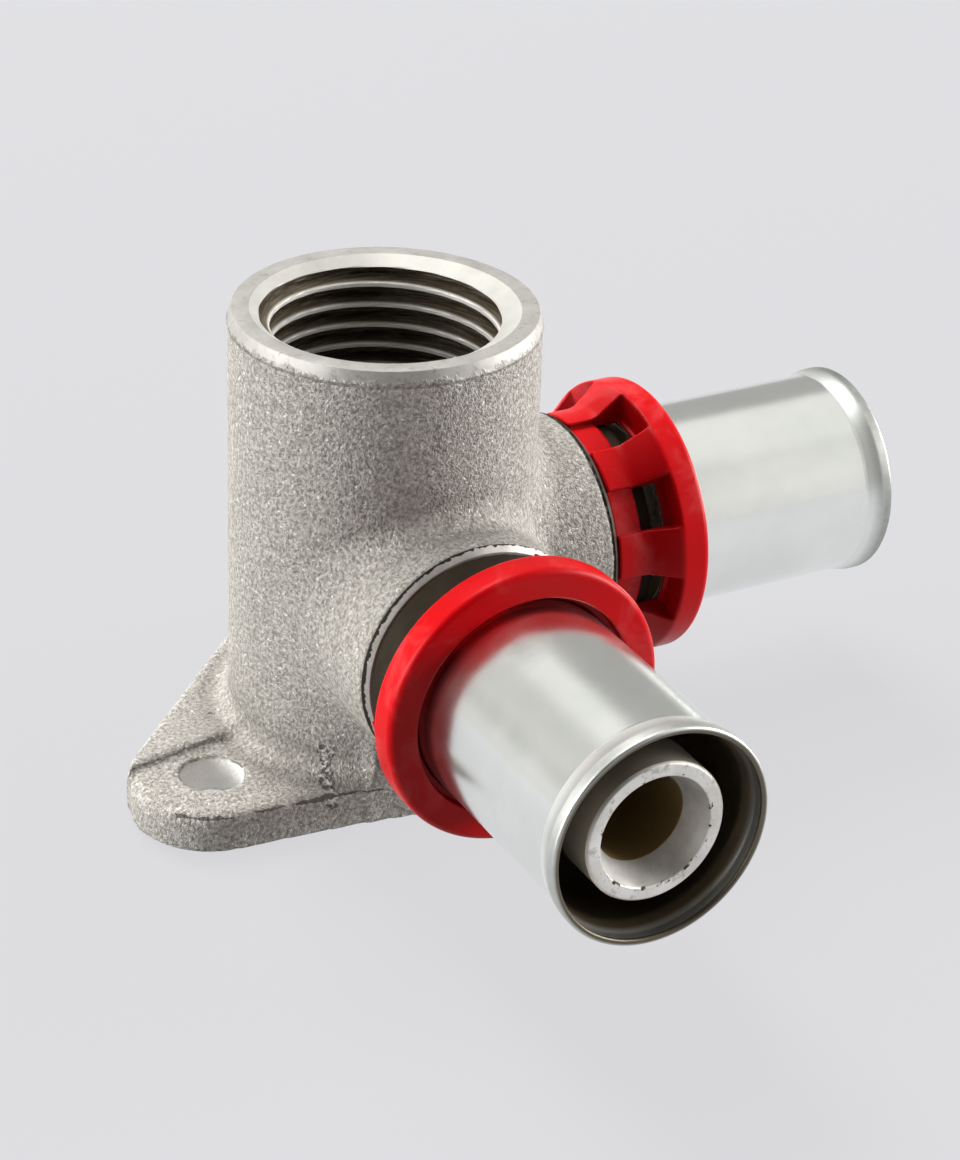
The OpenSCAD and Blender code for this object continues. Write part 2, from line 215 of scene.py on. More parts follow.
def surface_net(field, low, high, cell):
    """Points and quads of the zero surface of a field, drawn onto it by short Newton steps."""
    axes = [np.arange(a, b + cell, cell) for a, b in zip(low, high)]
    x, y, z = np.ix_(*axes)
    values = np.empty([len(a) for a in axes], dtype=np.float32)
    # in slabs, to save memory
    slab = 16
    for start in range(0, len(x), slab):
        values[start:start + slab] = field(x[start:start + slab], y, z)
    inside = values < 0
    points, index = cell_points(values, inside)
    points = points * cell + np.array(low)
    for _ in range(3):
        slope = slope_of(field, points, cell * 0.05)
        steepness = np.maximum((slope ** 2).sum(axis=1), 0.25)
        move = -(field(*points.T) / steepness)[:, None] * slope
        length = np.linalg.norm(move, axis=1)[:, None]
        points = points + move * np.minimum(1, cell * 0.3 / np.maximum(length, 1e-9))
    return points, cell_quads(inside, index)


def recess(field, points, reach):
    """0 on open surface, towards 1 in a recess, from the free room along the normal of each point."""
    normal = slope_of(field, points, 0.05)
    normal = normal / np.maximum(np.linalg.norm(normal, axis=1), 1e-9)[:, None]
    return np.clip(1 - field(*(points + normal * reach).T) / reach, 0, 1)


def piece(name, points, quads, material, replaced, smooth_angle=None):
    """A mesh piece from points in millimetres, which rides on the part's one body in place of CAD nodes."""
    mesh = bpy.data.meshes.new(name)
    mesh.from_pydata((points * MM).tolist(), [], quads.tolist())
    mesh.validate()
    mesh.update()
    mesh.materials.append(material)
    mesh.shade_smooth()
    if smooth_angle is not None:
        mesh.set_sharp_from_angle(angle=math.radians(smooth_angle))
    made = bpy.data.objects.new(name, mesh)
    bpy.context.scene.collection.objects.link(made)
    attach(made, "root")
    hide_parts(*replaced)
    return made


# Turned pieces

def on_outlet(points, side):
    """Turns points drawn round +Z onto the right outlet (+X) or the front outlet (-Y)."""
    x, y, z = points.T
    if side == "right":
        return np.stack([z, y, AXIS_H - x], axis=1)
    return np.stack([x, -z, AXIS_H + y], axis=1)


def spun(points, degrees):
    """Turns points round Z."""
    cosine, sine = math.cos(math.radians(degrees)), math.sin(math.radians(degrees))
    x, y, z = points.T
    return np.stack([x * cosine - y * sine, x * sine + y * cosine, z], axis=1)


def rounded(corners, steps):
    """A closed outline with its corners rounded; each corner has its radius, height and rounding."""
    places = [np.array(corner[:2], float) for corner in corners]
    result = []
    for i, (p, corner) in enumerate(zip(places, corners)):
        rounding = corner[2]
        if rounding <= 0:
            result.append(p)
            continue
        a = places[i - 1] - p
        b = places[(i + 1) % len(places)] - p
        length_a, length_b = np.linalg.norm(a), np.linalg.norm(b)
        a, b = a / length_a, b / length_b
        half = math.acos(np.clip(a @ b, -1, 1)) / 2
        cut = min(rounding / math.tan(half), length_a * 0.49, length_b * 0.49)
        rounding = cut * math.tan(half)
        start, end = p + a * cut, p + b * cut
        centre = p + (a + b) / np.linalg.norm(a + b) * (rounding / math.sin(half))
        for k in range(steps + 1):
            v = (start - centre) * (1 - k / steps) + (end - centre) * (k / steps)
            result.append(centre + v / np.linalg.norm(v) * rounding)
    return np.array(result)


def divided(outline, longest):
    """Closed outline with its long stretches split, so that noise and shading have points to work on."""
    result = []
    for i, p in enumerate(outline):
        q = outline[(i + 1) % len(outline)]
        count = max(1, math.ceil(np.linalg.norm(q - p) / longest))
        result += [p + (q - p) * k / count for k in range(count)]
    return np.array(result)


def lathe(outline, segments):
    """Points and quads of a closed [radius, height] outline that runs counter-clockwise, turned round Z."""
    n = len(outline)
    radii, heights = outline.T
    angles = np.arange(segments) * 2 * math.pi / segments
    points = np.stack([np.outer(np.cos(angles), radii), np.outer(np.sin(angles), radii),
                       np.tile(heights, (segments, 1))], axis=2).reshape(-1, 3)
    i, j = np.meshgrid(np.arange(segments), np.arange(n), indexing="ij")
    k, m = (i + 1) % segments, (j + 1) % n
    quads = np.stack([i * n + j, k * n + j, k * n + m, i * n + m], axis=2).reshape(-1, 4)
    return points, quads


# Colours in linear light

CAST_DARK = (0.112, 0.102, 0.087)
CAST_LIGHT = (0.360, 0.346, 0.317)
CAST_BLOTCH = (0.235, 0.224, 0.203)
CAST_SPECK = (0.66, 0.645, 0.61)
CAST_PIT = (0.05, 0.043, 0.033)
RECESS_SHADE = (0.045, 0.04, 0.031)
FLAW_AND_CREASE_SHADE = (0.035, 0.03, 0.022)
GLINT = (0.66, 0.65, 0.62)
DRILLED_WALL_AND_PAINTED_LIGHT = (0.68, 0.665, 0.635)
HOLE_RIM_SHADE = (0.06, 0.053, 0.042)
TURNED_DARK = (0.37, 0.357, 0.335)
TURNED_LIGHT = (0.53, 0.515, 0.49)
TURNED_MARK = (0.20, 0.185, 0.16)
RIM_SIDE_SHADE = (0.10, 0.094, 0.082)
RIM_LAND_SHADE = (0.08, 0.075, 0.065)
COUNTERSINK = ((0.33, 0.32, 0.295), (0.52, 0.51, 0.48))
CREST = (0.74, 0.725, 0.695)
CREST_EDGE = (0.46, 0.437, 0.395)
FLANK_SHADE = (0.095, 0.076, 0.050)
THREAD_ROOT_SHADE = (0.042, 0.031, 0.017)
THREAD_LINE = (0.24, 0.21, 0.165)
END_DARK = (0.56, 0.545, 0.51)
END_LIGHT = (0.77, 0.755, 0.725)
END_MARK = (0.22, 0.205, 0.175)
TAIL_SKIN = (0.50, 0.47, 0.42)
LIP_SHADE_BY_SIDE = {"right": ((0.07, 0.065, 0.055), (0.17, 0.16, 0.14)),
       "front": ((0.27, 0.26, 0.24), (0.46, 0.445, 0.42))}
LIP_EDGE_SHADE = (0.028, 0.023, 0.017)
TIP_CONE = ((0.44, 0.42, 0.385), (0.64, 0.62, 0.59))
BRASS_BORE = (0.37, 0.265, 0.115)
NICK = (0.05, 0.042, 0.03)
STEEL_DARK = (0.86, 0.885, 0.855)
STEEL_LIGHT = (0.95, 0.965, 0.935)
STEEL_MOTTLE = (0.55, 0.58, 0.56)
BARREL_SHADE = ((0.34, 0.27, 0.18), (0.50, 0.425, 0.315))
BARREL_SHADE_LOW = (0.10, 0.065, 0.025)
MOUTH_LIP_SHADE = (0.11, 0.098, 0.075)
BEAD_SHADE_BY_SIDE = {"right": (0.20, 0.205, 0.185), "front": (0.40, 0.405, 0.375)}
RED = ((0.242, 0.0005, 0.0015), (0.290, 0.001, 0.0025))
RED_SCUFF_AND_SHEEN = (0.40, 0.075, 0.075)
OLIVE_BLACK = ((0.0060, 0.0043, 0.0026), (0.0190, 0.0143, 0.0090))
RUBBER_BLACK = ((0.012, 0.012, 0.012), (0.028, 0.028, 0.028))
TABLE_PAINT = ((0.020, 0.020, 0.021), (0.022, 0.022, 0.023))


# Materials

class Graph:
    """Short names for the shader nodes that the materials share."""

    def __init__(self, tree):
        self.tree = tree
        self.place = tree.nodes.new("ShaderNodeNewGeometry").outputs["Position"]
        axes = tree.nodes.new("ShaderNodeSeparateXYZ")
        self.link(self.place, axes.inputs[0])
        self.x, self.y, self.z = axes.outputs

    def link(self, a, b):
        self.tree.links.new(a, b)

    def value(self, socket, v):
        """Sets a socket to a constant, or links another node's output to it."""
        if isinstance(v, (int, float, tuple)):
            socket.default_value = v
        else:
            self.link(v, socket)

    def math(self, operation, a, b=0.0, c=None, clamp=False):
        n = self.tree.nodes.new("ShaderNodeMath")
        n.operation, n.use_clamp = operation, clamp
        self.value(n.inputs[0], a)
        self.value(n.inputs[1], b)
        if c is not None:
            self.value(n.inputs[2], c)
        return n.outputs[0]

    def times(self, a, b):
        return self.math("MULTIPLY", a, b)

    def minus(self, a, b):
        return self.math("SUBTRACT", a, b)

    def either(self, a, b):
        """The stronger of two masks."""
        return self.math("MAXIMUM", a, b)

    def times_plus(self, a, b, c):
        return self.math("MULTIPLY_ADD", a, b, c)

    def distance(self, a, b):
        """Length of the vector (a, b)."""
        return self.math("SQRT", self.math("ADD", self.times(a, a), self.times(b, b)))

    def over(self, length, limit):
        """1 where a length in metres is over a size in millimetres, else 0."""
        return self.math("GREATER_THAN", length, limit * MM)

    def under(self, length, limit):
        """1 where a length in metres is under a size in millimetres, else 0."""
        return self.math("LESS_THAN", length, limit * MM)

    def within(self, length, low, high):
        """1 where a length in metres lies between two sizes in millimetres, else 0."""
        return self.times(self.over(length, low), self.under(length, high))

    def rise(self, a, b, per_mm):
        """How far length a is over length b, times per_mm for each millimetre, held between 0 and 1."""
        return self.math("MULTIPLY", self.minus(a, b), per_mm * 1000, clamp=True)

    def dot(self, direction, less_mm):
        """How far the surface lies along a direction, less a length in millimetres."""
        n = self.tree.nodes.new("ShaderNodeVectorMath")
        n.operation = "DOT_PRODUCT"
        self.link(self.place, n.inputs[0])
        n.inputs[1].default_value = tuple(float(d) for d in direction)
        return self.minus(n.outputs["Value"], float(less_mm) * MM)

    def noise(self, per_mm, detail=2.0, rough=0.5, stretch=(1, 1, 1), distortion=0.0):
        stretched = self.tree.nodes.new("ShaderNodeVectorMath")
        stretched.operation = "MULTIPLY"
        self.link(self.place, stretched.inputs[0])
        stretched.inputs[1].default_value = stretch
        n = self.tree.nodes.new("ShaderNodeTexNoise")
        n.inputs["Scale"].default_value = per_mm * 1000
        n.inputs["Detail"].default_value = detail
        n.inputs["Roughness"].default_value = rough
        n.inputs["Distortion"].default_value = distortion
        self.link(stretched.outputs[0], n.inputs["Vector"])
        return n.outputs["Fac"]

    def ramp(self, v, *stops):
        n = self.tree.nodes.new("ShaderNodeValToRGB")
        elements = n.color_ramp.elements
        while len(elements) < len(stops):
            elements.new(0.5)
        for e, (at, colour) in zip(elements, stops):
            e.position = at
            e.color = (*colour, 1) if isinstance(colour, tuple) else (colour, colour, colour, 1)
        self.link(v, n.inputs[0])
        return n.outputs[0]

    def fade(self, v, low, high, first=0.0, last=1.0):
        """One level up to a low value, another from a high value on, and a slope between."""
        return self.ramp(v, (low, first), (high, last))

    def spread(self, v, low, high):
        """Takes 0 to 1 to a range from low to high."""
        n = self.tree.nodes.new("ShaderNodeMapRange")
        self.link(v, n.inputs[0])
        n.inputs[3].default_value, n.inputs[4].default_value = low, high
        return n.outputs[0]

    def mix(self, factor, a, b):
        n = self.tree.nodes.new("ShaderNodeMix")
        n.data_type = "RGBA"
        self.value(n.inputs[0], factor)
        self.value(n.inputs[6], (*a, 1.0) if isinstance(a, tuple) else a)
        self.value(n.inputs[7], (*b, 1.0) if isinstance(b, tuple) else b)
        return n.outputs[2]

    def cover(self, base, mask, strength, colour):
        """A colour laid over a base where a mask says so, up to a strength."""
        return self.mix(self.spread(mask, 0.0, strength), base, colour)

    def bump(self, height, distance_mm, strength=1.0, after=None):
        n = self.tree.nodes.new("ShaderNodeBump")
        n.inputs["Strength"].default_value = strength
        n.inputs["Distance"].default_value = distance_mm * MM
        self.link(height, n.inputs["Height"])
        if after is not None:
            self.link(after, n.inputs["Normal"])
        return n.outputs[0]


def material(name, build):
    made = bpy.data.materials.new(name)
    made.use_nodes = True
    build(Graph(made.node_tree), made.node_tree.nodes["Principled BSDF"])
    return made


def axis_radius(g, side):
    """Distance from an outlet's axis, and the place along it, both in metres."""
    across, along = (g.y, g.x) if side == "right" else (g.x, g.times(g.y, -1.0))
    return g.distance(across, g.minus(g.z, AXIS_H * MM)), along


def cast_skin(g):
    """Blasted, nickel-plated casting: returns its colour, height and roughness."""
    grain = g.noise(3.0, 3.0, 0.72)
    speck = g.fade(g.noise(2.3, 3.0, 0.65), 0.61, 0.70)
    pits = g.fade(g.noise(1.7, 3.0, 0.7), 0.27, 0.33, 1.0, 0.0)
    base = g.mix(g.fade(grain, 0.36, 0.64), CAST_DARK, CAST_LIGHT)
    base = g.cover(base, g.noise(0.16, 4.0, 0.6, distortion=0.4), 0.34, CAST_BLOTCH)
    base = g.cover(base, speck, 0.60, CAST_SPECK)
    base = g.cover(base, pits, 0.65, CAST_PIT)
    height = g.times_plus(g.noise(7.0, 1.0, 0.5), 0.35, grain)
    return base, height, g.spread(g.noise(0.75, 3.0, 0.6), 0.56, 0.72)


def turned_band(g):
    """1 above a ragged line just below the rim, where the tool has cleaned the casting, else 0."""
    low, ragged = 38.1, 1.8
    line = g.times_plus(g.noise(0.55, 4.0, 0.75), ragged * MM, low * MM)
    return g.rise(g.z, line, 4.0)


def turned_skin(g):
    """Colour and roughness of a matt turned face, with faint darker marks."""
    base = g.mix(g.fade(g.noise(0.45, 4.0, 0.65), 0.3, 0.7), TURNED_DARK, TURNED_LIGHT)
    base = g.cover(base, g.fade(g.noise(1.2, 4.0, 0.75), 0.56, 0.68), 0.6, TURNED_MARK)
    return base, g.spread(g.noise(0.8, 2.0, 0.5), 0.42, 0.56)


def seam(g):
    """Masks of the pits and of the glints in the flash seam, which crosses the plate beside the left ear."""
    start, end = np.array(SEAM_START), np.array(SEAM_END)
    length = np.linalg.norm(end - start)
    ux, uy = (end - start) / length
    along = g.dot((ux, uy, 0), start @ (ux, uy))
    aside = g.math("ABSOLUTE", g.dot((-uy, ux, 0), start @ (-uy, ux)))
    wide = g.times_plus(g.noise(0.45, 2.0, 0.6), 2.2 * MM, -0.68 * MM)
    band = g.times(g.math("LESS_THAN", aside, wide), g.within(along, 0.0, length))
    pitting = g.noise(2.2, 2.0, 0.6)
    return g.times(band, g.fade(pitting, 0.50, 0.54)), g.times(band, g.fade(pitting, 0.38, 0.42, 1.0, 0.0))


def dent(g, x, y, size):
    """Mask of a small square dent in the plate's top; its place and size are in millimetres."""
    lean_x, lean_y = 0.4, -0.2
    across = g.math("ABSOLUTE", g.dot((1, lean_x, 0), x + lean_x * y))
    along = g.math("ABSOLUTE", g.dot((lean_y, 1, 0), y + lean_y * x))
    return g.under(g.math("ADD", across, along), size)


def pad_crease_shade(g, u, v, hole, wander, thin):
    """Mask of the painted shade along the crease where the web ends beside a hole; u runs along the crease
    and v across it.
    """
    edge = g.math("ADD", wander, g.dot((*v, 0), hole @ v + PAD_R - 0.12))
    line = g.math("LESS_THAN", g.math("ABSOLUTE", edge), thin)
    return g.times(line, g.times(g.within(g.dot((*u, 0), hole @ u), -6.6, PAD_R), 0.6))


def plate_flaws_and_crease_shade(g):
    """Masks of the plate's flaws (seam pits, dents) and of the painted shade in its pad creases and along
    its parting line, and of the seam's glints.
    """
    pits, glints = seam(g)
    wander = g.times(g.minus(g.noise(1.1, 3.0, 0.7), 0.5), 0.4 * MM)
    thin = g.times(g.fade(g.noise(0.32, 2.0, 0.6), 0.40, 0.62), 0.11 * MM)
    cosine, sine = math.cos(PAD_SKEW), math.sin(PAD_SKEW)
    creases = [pad_crease_shade(g, (cosine, sine), (-sine, cosine), HOLE_LEFT, wander, thin),
               pad_crease_shade(g, (-sine, -cosine), (-cosine, sine), HOLE_BACK, wander, thin)]
    on_top = reduce(g.either, [pits, *(dent(g, x, y, size) for x, y, size in DENTS), *creases])
    plate_zone = g.within(g.z, 2.0, 6.2)
    # painted shade along the crease of the parting line at the plate's front edge
    parting = g.math("ABSOLUTE", g.math("ADD", wander, g.minus(g.z, 3.05 * MM)))
    parting = g.math("LESS_THAN", parting, g.times(thin, 1.5))
    front_edge = g.times(g.within(g.x, -22.6, -5.5), g.under(g.y, -8.6))
    return g.either(g.times(on_top, plate_zone), g.times(parting, front_edge)), g.times(glints, plate_zone)


def casting(g, shader):
    """The cast body: grain all over, flaws, drilled holes, and the turned band below the rim, with painted
    shade in the recesses, the creases and round the holes' rims, painted light on the holes' walls, and the
    turned band darker as painted shade.
    """
    base, height, rough = cast_skin(g)
    flaws, glints = plate_flaws_and_crease_shade(g)
    # painted shade: the casting darkens towards its recesses, by how shut in each point is
    recess_shade = g.tree.nodes.new("ShaderNodeAttribute")
    recess_shade.attribute_name = "recess"
    base = g.cover(base, g.fade(recess_shade.outputs["Fac"], 0.04, 0.55), 0.44, RECESS_SHADE)
    # dark flaws, and painted shade in the creases and along the parting line
    base = g.cover(base, flaws, 0.80, FLAW_AND_CREASE_SHADE)
    base = g.cover(base, glints, 0.35, GLINT)
    for hole_x, hole_y in (HOLE_LEFT, HOLE_BACK):
        near = g.distance(g.minus(g.x, hole_x * MM), g.minus(g.y, hole_y * MM))
        # drilled walls, lightened past their finish as painted light coming through the holes
        base = g.mix(g.rise((HOLE_R + 0.12) * MM, near, 9.0), base, DRILLED_WALL_AND_PAINTED_LIGHT)
        # painted shade round the holes' rims
        edge = g.times(g.within(near, HOLE_R + 0.03, HOLE_R + 0.17), g.within(g.z, 2.6, 4.2))
        base = g.mix(g.times(edge, g.fade(g.noise(0.6, 3.0, 0.7), 0.42, 0.56, 0.0, 0.75)), base, HOLE_RIM_SHADE)
    above = turned_band(g)
    turned, smooth = turned_skin(g)
    # the turned band, darkened as painted shade like the rim's side
    g.link(g.mix(above, base, g.mix(0.30, turned, RIM_SIDE_SHADE)), shader.inputs["Base Color"])
    shader.inputs["Metallic"].default_value = 0.35
    shader.inputs["Specular IOR Level"].default_value = 0.3
    g.link(g.mix(above, rough, smooth), shader.inputs["Roughness"])
    height = g.times_plus(flaws, -1.2, height)
    height = g.times(height, g.minus(1.0, g.times(above, 0.90)))
    waves = g.bump(g.noise(0.75, 3.0, 0.6), 0.12, 0.6)
    g.link(g.bump(height, 0.19, after=waves), shader.inputs["Normal"])


def turned_metal(g, shader, side):
    """Nickel-plated turned faces with faint marks, brown in the bore, with nicks round the tip's mouth."""
    r, _ = axis_radius(g, side)
    tone = g.fade(g.noise(0.45, 4.0, 0.65), 0.3, 0.7)
    base = g.mix(tone, END_DARK, END_LIGHT)
    base = g.cover(base, g.fade(g.noise(0.9, 4.0, 0.7), 0.55, 0.66), 0.55, END_MARK)
    base = g.mix(g.over(r, TAIL_R - 0.12), base, TAIL_SKIN)
    # the turned lip's tone, darker on the right outlet as painted shade
    base = g.mix(g.over(r, NECK_R + 0.3), base, g.mix(tone, *LIP_SHADE_BY_SIDE[side]))
    # painted shade: a dark line at the lip's outer edge, wider towards -X on the front outlet
    lip_shade_reach = g.times_plus(g.noise(1.6, 3.0, 0.7), 0.55 * MM, (BOSS_R - 0.40) * MM)
    if side == "front":
        lip_shade_reach = g.times_plus(g.x, 0.012, lip_shade_reach)
    base = g.mix(g.math("GREATER_THAN", r, lip_shade_reach), base, LIP_EDGE_SHADE)
    base = g.mix(g.within(r, BORE_R + 0.02, TIP_MOUTH_R - 0.03), base, g.mix(tone, *TIP_CONE))
    base = g.mix(g.under(r, BORE_R + 0.02), base, BRASS_BORE)
    nick = g.fade(g.noise(1.0, 3.0, 0.7), 0.555, 0.60)
    base = g.mix(g.times(nick, g.within(r, TIP_MOUTH_R - 0.06, TIP_MOUTH_R + 0.22)), base, NICK)
    g.link(base, shader.inputs["Base Color"])
    shader.inputs["Metallic"].default_value = 0.80
    g.link(g.spread(g.noise(0.8, 2.0, 0.5), 0.46, 0.60), shader.inputs["Roughness"])
    g.link(g.bump(g.noise(3.0, 2.0, 0.5), 0.02, 0.7), shader.inputs["Normal"])


def thread_metal(g, shader):
    """The rim, and inside the socket pale crests over brown flanks that darken towards the roots as painted
    shade, with marks that follow the thread.
    """
    r = g.distance(g.x, g.y)
    depth = g.math("DIVIDE", g.minus(r, CORE_R * MM), (MAJOR_R - CORE_R) * MM, clamp=True)
    in_thread = g.times(g.under(g.z, SOCKET_H - MOUTH_DEPTH + 0.02), g.under(r, MAJOR_R + 0.3))
    lines = g.noise(0.30, 4.0, 0.75, stretch=(1, 1, 30))
    # painted shade: the thread darkens from its pale crests down to its roots
    thread = g.ramp(depth, (0.0, CREST), (0.09, CREST_EDGE), (0.22, FLANK_SHADE), (0.8, THREAD_ROOT_SHADE))
    thread = g.mix(g.fade(lines, 0.46, 0.62, 0.0, 0.5), thread, THREAD_LINE)
    turned, _ = turned_skin(g)
    rough_cast, height, _ = cast_skin(g)
    outer_wall = g.over(r, SOCKET_R - 0.45)
    outside = g.times(outer_wall, g.minus(1.0, turned_band(g)))
    land = g.over(g.z, SOCKET_H - 0.015)
    # the land on top of the rim darkened as painted shade
    turned = g.cover(turned, land, 0.38, RIM_LAND_SHADE)
    turned = g.mix(g.under(r, MOUTH_R - 0.03), turned, g.mix(g.noise(0.45, 4.0, 0.65), *COUNTERSINK))
    # the rim's outer side darkened as painted shade
    turned = g.cover(turned, g.times(outer_wall, g.minus(1.0, land)), 0.30, RIM_SIDE_SHADE)
    top = g.mix(outside, turned, rough_cast)
    g.link(g.mix(in_thread, top, thread), shader.inputs["Base Color"])
    shader.inputs["Metallic"].default_value = 0.75
    shader.inputs["Specular IOR Level"].default_value = 0.3
    g.link(g.spread(g.noise(0.9, 2.0, 0.5), 0.48, 0.62), shader.inputs["Roughness"])
    scores = g.bump(g.times(lines, in_thread), 0.05, 0.7)
    grain = g.times(height, g.times_plus(outside, 0.9, 0.1))
    g.link(g.bump(grain, 0.09, after=scores), shader.inputs["Normal"])


def sleeve_steel(g, shader, side):
    """Rolled stainless steel: soft sheen, faint mottling outside, and a dark brown painted shade inside the
    barrel.
    """
    r, along = axis_radius(g, side)
    at_end = g.over(along, SLEEVE_END - 0.30)
    barrel_shade_r, lip_shade_r = SLEEVE_R - 0.16, BEAD_R - 0.09
    inside = g.rise(g.times_plus(at_end, (lip_shade_r - barrel_shade_r) * MM, barrel_shade_r * MM), r, 5.0)
    mottle = g.noise(1.4, 3.0, 0.65)
    base = g.mix(g.fade(g.noise(0.12, 3.0, 0.55), 0.3, 0.7), STEEL_DARK, STEEL_LIGHT)
    base = g.cover(base, mottle, 0.10, STEEL_MOTTLE)
    # painted shade on the bead, darker on the right sleeve's
    bead_shade = g.rise(along, (BEAD_START + 0.5) * MM, 0.8)
    base = g.mix(g.times(bead_shade, g.spread(mottle, 0.55, 0.85)), base, BEAD_SHADE_BY_SIDE[side])
    # painted shade inside the barrel, darker towards the bottom and on the mouth's lip
    barrel_shade = g.mix(g.noise(0.35, 3.0, 0.6), *BARREL_SHADE)
    barrel_shade = g.cover(barrel_shade, g.rise((AXIS_H - 1.0) * MM, g.z, 0.16), 0.65, BARREL_SHADE_LOW)
    barrel_shade = g.cover(barrel_shade, at_end, 0.85, MOUTH_LIP_SHADE)
    g.link(g.mix(inside, base, barrel_shade), shader.inputs["Base Color"])
    shader.inputs["Metallic"].default_value = 1.0
    duller = g.either(g.times(g.over(along, BEAD_START), 0.24), g.times(inside, 0.20))
    rough = g.spread(g.noise(0.5, 3.0, 0.6), 0.14, 0.24)
    g.link(g.math("ADD", rough, duller), shader.inputs["Roughness"])
    waves = g.bump(g.noise(0.5, 2.0, 0.5), 0.02, 0.5)
    g.link(g.bump(g.noise(6.0, 2.0, 0.5), 0.006, 0.6, after=waves), shader.inputs["Normal"])


def ring_plastic(g, shader):
    """Glossy red moulded plastic with faint flow marks, and scuffs that also carry a painted pink sheen."""
    # pale pink patches: scuffs, and a painted sheen
    scuffs_and_sheen = g.fade(g.noise(0.19, 4.0, 0.62, distortion=0.5), 0.52, 0.68)
    base = g.mix(g.fade(g.noise(0.15, 3.0, 0.5), 0.3, 0.7), *RED)
    g.link(g.cover(base, scuffs_and_sheen, 0.24, RED_SCUFF_AND_SHEEN), shader.inputs["Base Color"])
    rough = g.spread(g.noise(1.2, 3.0, 0.6), 0.24, 0.36)
    g.link(g.math("ADD", rough, g.times(scuffs_and_sheen, 0.12)), shader.inputs["Roughness"])
    shader.inputs["Specular IOR Level"].default_value = 0.10
    waves = g.bump(g.noise(0.35, 2.0, 0.5), 0.05, 0.4)
    g.link(g.bump(g.noise(3.5, 2.0, 0.5), 0.006, 0.5, after=waves), shader.inputs["Normal"])


def washer_plastic(g, shader):
    """Dark olive-black moulded plastic, satin."""
    g.link(g.mix(g.noise(0.5, 3.0, 0.6), *OLIVE_BLACK), shader.inputs["Base Color"])
    g.link(g.spread(g.noise(1.5, 2.0, 0.5), 0.44, 0.60), shader.inputs["Roughness"])
    shader.inputs["Specular IOR Level"].default_value = 0.06
    g.link(g.bump(g.noise(4.0, 2.0, 0.5), 0.01, 0.5), shader.inputs["Normal"])


def seal_rubber(g, shader):
    """Black rubber with a fine moulded skin."""
    g.link(g.mix(g.noise(0.8, 3.0, 0.6), *RUBBER_BLACK), shader.inputs["Base Color"])
    g.link(g.spread(g.noise(2.5, 2.0, 0.5), 0.42, 0.60), shader.inputs["Roughness"])
    g.link(g.bump(g.noise(8.0, 2.0, 0.5), 0.01, 0.5), shader.inputs["Normal"])


def table_paint(g, shader):
    """A light table: most of its brightness is its own, so that shadows stay faint."""
    g.link(g.mix(g.noise(0.004, 2.0, 0.5), *TABLE_PAINT), shader.inputs["Base Color"])
    shader.inputs["Roughness"].default_value = 0.95
    shader.inputs["Specular IOR Level"].default_value = 0.0
    shader.inputs["Emission Color"].default_value = (0.97, 0.97, 1.0, 1)
    shader.inputs["Emission Strength"].default_value = 0.665


# The cast body

lumps = Noise(seed=7)


def pad_point(x, y):
    """A point of the left ear's pad, given from its hole along the skewed pad."""
    cosine, sine = math.cos(PAD_SKEW), math.sin(PAD_SKEW)
    return HOLE_LEFT + np.array([x * cosine - y * sine, x * sine + y * cosine])


def other_side(p):
    """The mirror image of a point of the left ear at the back ear."""
    return np.array([-p[1], -p[0]])


PLATE = [HOLE_LEFT, TOE, HOLE_BACK]
PAD_CORNER, PAD_TAIL = pad_point(PAD_R, PAD_R), pad_point(-3 * PAD_R, PAD_R)
WEB = [PAD_CORNER, np.array([0.0, 0.0]), other_side(PAD_CORNER), other_side(PAD_TAIL), PAD_TAIL]


def plate_field(x, y, z):
    """The plate with its two ears and its toe, and the raised web between the pads."""
    plan = polygon_field(x, y, PLATE) - CORNER_R
    plate = meet_round(plan, z - PLATE_T, EDGE_R)
    web = meet_round(np.maximum(polygon_field(x, y, WEB), plan), z - PLATE_T - WEB_RISE, WEB_EDGE_R)
    return join_round(plate, web, WEB_FILLET)


def boss_field(along, across, up):
    """One cast boss that runs along its first coordinate, up to its turned lip."""
    barrel = hypot(across, up - AXIS_H) - BOSS_R
    cast_end = BOSS_END - LIP_BEVEL - LIP_GAP
    return np.maximum(meet_round(barrel, along - cast_end, LIP_EDGE_R), -along)


def rib_field(along, across, up):
    """The rib below one boss."""
    plan = np.maximum(np.abs(across) - RIB_W / 2, np.abs(along - RIB_REACH / 2) - RIB_REACH / 2)
    return np.maximum(plan, up - AXIS_H)


def hollow_field(x, y, z):
    """The room for the threaded ring, the chamber below it and the two water ways."""
    radial = hypot(x, y)
    bore = np.maximum(radial - CAST_BORE_R, CAST_BORE_FLOOR - z)
    chamber = np.maximum(radial - CHAMBER_R, CHAMBER_FLOOR - z)
    way_right = np.maximum(hypot(y, z - AXIS_H) - BORE_R, -x)
    way_front = np.maximum(hypot(x, z - AXIS_H) - BORE_R, y)
    return reduce(np.minimum, [bore, chamber, way_right, way_front])


